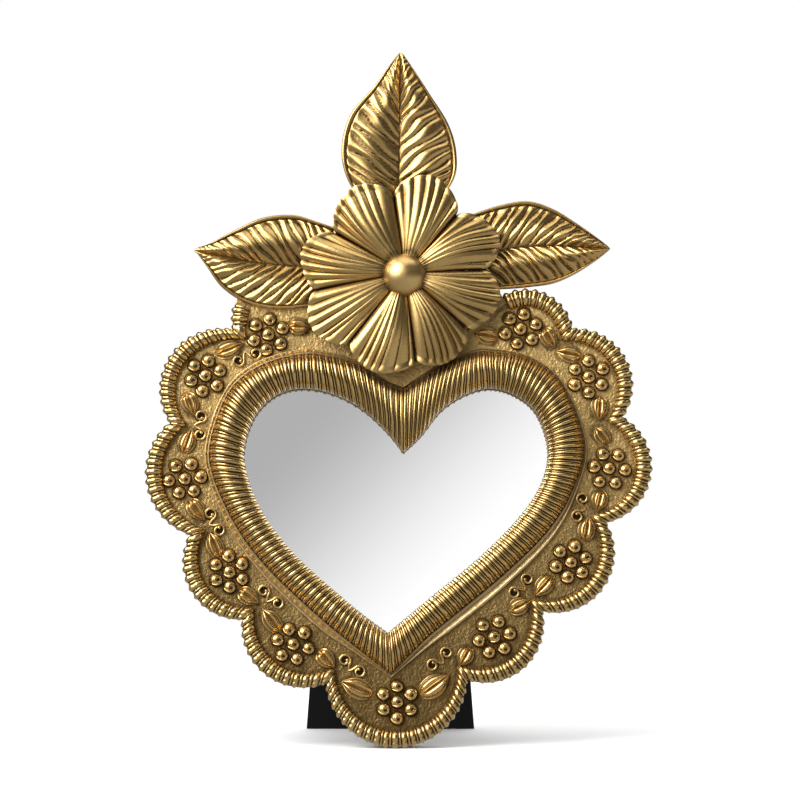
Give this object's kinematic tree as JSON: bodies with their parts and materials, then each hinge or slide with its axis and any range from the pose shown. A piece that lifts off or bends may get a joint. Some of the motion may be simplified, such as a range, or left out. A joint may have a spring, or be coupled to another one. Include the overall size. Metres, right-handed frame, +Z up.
{
  "type": "heart-shaped table mirror",
  "caption": "Heart-shaped mirror in a scalloped antique-gold frame with a ribbed heart moulding, berries, leaves and a flower on top, standing on a hinged black easel strut.",
  "frame": {"origin": "on the table top, under the centre of the bounding box of the standing mirror with its strut open", "axes": "+Z up, -Y the way the mirror faces, +X to the right as seen from the front"},
  "size_m": [0.2162, 0.0855, 0.295],
  "materials": {
    "antique_gold": "cast resin with an antique gold finish, dark in the grooves",
    "mirror": "clear silvered glass",
    "felt": "thin grey pad",
    "board": "brown hardboard",
    "steel": "plated steel",
    "black_wood": "hardboard painted satin black"
  },
  "bodies": {
    "frame": {"frame_plate": "antique_gold", "scallop_rim": "antique_gold", "moulding_plinth": "antique_gold", "heart_moulding": "antique_gold", "berry_clusters": "antique_gold", "leaf_sprigs": "antique_gold", "scrolls": "antique_gold", "top_leaf": "antique_gold", "left_leaf": "antique_gold", "right_leaf": "antique_gold", "flower_hub": "antique_gold", "flower": "antique_gold", "flower_boss": "antique_gold", "mirror_glass": "mirror", "felt_pad": "felt", "backboard": "board", "retaining_clips": "steel", "clip_screws": "steel", "hinge_plate": "steel", "hinge_screws": "steel", "hinge_pin": "steel"},
    "strut": {"easel_leg": "black_wood", "hinge_leaf": "steel", "leg_rivets": "steel"}
  },
  "joints": [
    {"name": "strut_hinge", "type": "hinge", "parent": "frame", "child": "strut", "pos_m": [-0.0038, -0.00081, 0.15309], "axis": [1, 0, 0], "range_deg": [-24, 0]}
  ]
}
